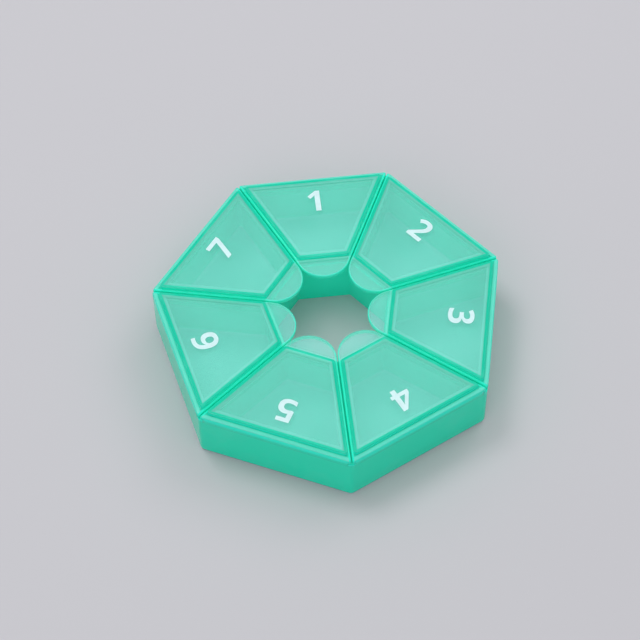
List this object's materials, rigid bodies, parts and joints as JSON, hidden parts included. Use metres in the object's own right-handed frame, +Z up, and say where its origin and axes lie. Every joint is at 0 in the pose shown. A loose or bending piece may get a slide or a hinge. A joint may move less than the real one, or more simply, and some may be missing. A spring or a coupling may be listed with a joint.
{
  "type": "seven-day pill box",
  "caption": "Ring-shaped weekly pill box in translucent green plastic: a heptagonal tray of bays round a through hole, and a tabbed lid on a living hinge over each bay.",
  "frame": {"origin": "middle of the footprint's bounding box, on the resting plane", "axes": "+Z up; +Y towards lid_1, whose hinge is the ring's far side; the ring's corner between lid_4 and lid_5 points to -Y"},
  "size_m": [0.101, 0.0988, 0.0193],
  "materials": {
    "tray_plastic": "translucent moulded polypropylene, softly glossy",
    "lid_plastic": "translucent moulded polypropylene, softly glossy",
    "hinge_plastic": "thin flexed web of the same polypropylene"
  },
  "bodies": {
    "tray": {"tray": "tray_plastic", "living_hinge_1": "hinge_plastic", "living_hinge_2": "hinge_plastic", "living_hinge_3": "hinge_plastic", "living_hinge_4": "hinge_plastic", "living_hinge_5": "hinge_plastic", "living_hinge_6": "hinge_plastic", "living_hinge_7": "hinge_plastic"},
    "lid_1": {"lid_1": "lid_plastic"},
    "lid_2": {"lid_2": "lid_plastic"},
    "lid_3": {"lid_3": "lid_plastic"},
    "lid_4": {"lid_4": "lid_plastic"},
    "lid_5": {"lid_5": "lid_plastic"},
    "lid_6": {"lid_6": "lid_plastic"},
    "lid_7": {"lid_7": "lid_plastic"}
  },
  "joints": [
    {"name": "hinge_1", "type": "hinge", "parent": "tray", "child": "lid_1", "pos_m": [0, 0.04938, 0.01665], "axis": [-1, 0, 0], "range_deg": [0, 180], "deforming": ["living_hinge_1"]},
    {"name": "hinge_2", "type": "hinge", "parent": "tray", "child": "lid_2", "pos_m": [0.03675, 0.03168, 0.01665], "axis": [-0.6235, 0.7818, 0], "range_deg": [0, 180], "deforming": ["living_hinge_2"]},
    {"name": "hinge_3", "type": "hinge", "parent": "tray", "child": "lid_3", "pos_m": [0.04582, -0.00808, 0.01665], "axis": [0.2225, 0.9749, 0], "range_deg": [0, 180], "deforming": ["living_hinge_3"]},
    {"name": "hinge_4", "type": "hinge", "parent": "tray", "child": "lid_4", "pos_m": [0.02039, -0.03997, 0.01665], "axis": [0.901, 0.4339, 0], "range_deg": [0, 180], "deforming": ["living_hinge_4"]},
    {"name": "hinge_5", "type": "hinge", "parent": "tray", "child": "lid_5", "pos_m": [-0.02039, -0.03997, 0.01665], "axis": [0.901, -0.4339, 0], "range_deg": [0, 180], "deforming": ["living_hinge_5"]},
    {"name": "hinge_6", "type": "hinge", "parent": "tray", "child": "lid_6", "pos_m": [-0.04582, -0.00808, 0.01665], "axis": [0.2225, -0.9749, 0], "range_deg": [0, 180], "deforming": ["living_hinge_6"]},
    {"name": "hinge_7", "type": "hinge", "parent": "tray", "child": "lid_7", "pos_m": [-0.03675, 0.03168, 0.01665], "axis": [-0.6235, -0.7818, 0], "range_deg": [0, 180], "deforming": ["living_hinge_7"]}
  ]
}
